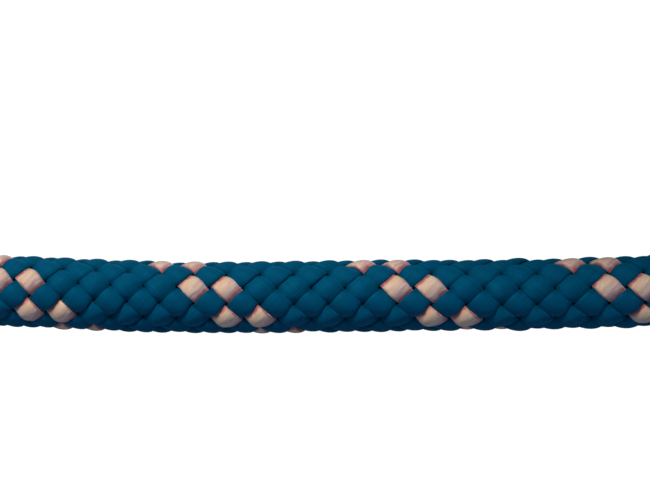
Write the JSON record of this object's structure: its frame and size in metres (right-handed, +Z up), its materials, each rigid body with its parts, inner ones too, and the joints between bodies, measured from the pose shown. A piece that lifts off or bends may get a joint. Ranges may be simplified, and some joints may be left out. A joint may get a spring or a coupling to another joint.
{
  "type": "dynamic climbing rope",
  "caption": "Dynamic kernmantle climbing rope: a plaited blue sheath with tracer strands over a twisted core, laid out in front of its own tied round coil.",
  "frame": {"origin": "centre of the box that the whole rope fills, on the ground", "axes": "+X along the laid-out run of rope, from its free end to the bend, +Y from the run towards the coil, +Z up"},
  "size_m": [0.15, 0.1925, 0.1105],
  "materials": {
    "sheath_blue": "plaited polyamide yarn, petrol blue, soft sheen",
    "sheath_tracer": "plaited polyamide yarn, peach and pink, silky sheen",
    "core_white": "twisted white polyamide yarn, matt",
    "end_sleeve": "shrunk black tubing, satin",
    "melted_end": "melted and set rope end, glossy and uneven",
    "tie_tape": "woven flat tape, matt black"
  },
  "bodies": {
    "root": {"tracer_strand_1": "sheath_tracer", "tracer_strand_2": "sheath_tracer", "sheath_strand_z3": "sheath_blue", "sheath_strand_z4": "sheath_blue", "sheath_strand_z5": "sheath_blue", "sheath_strand_z6": "sheath_blue", "sheath_strand_s1": "sheath_blue", "sheath_strand_s2": "sheath_blue", "sheath_strand_s3": "sheath_blue", "sheath_strand_s4": "sheath_blue", "sheath_strand_s5": "sheath_blue", "sheath_strand_s6": "sheath_blue", "core_yarn_0": "core_white", "core_yarn_1": "core_white", "core_yarn_2": "core_white", "core_yarn_3": "core_white", "core_yarn_4": "core_white", "core_yarn_5": "core_white", "core_yarn_6": "core_white", "lead_in_rope": "sheath_blue", "coiled_rope": "sheath_blue", "tail_rope": "sheath_blue", "end_sleeve_a": "end_sleeve", "end_sleeve_b": "end_sleeve", "end_seal_a": "melted_end", "end_seal_b": "melted_end", "coil_tie_1": "tie_tape", "coil_tie_2": "tie_tape", "coil_tie_3": "tie_tape"}
  },
  "joints": []
}
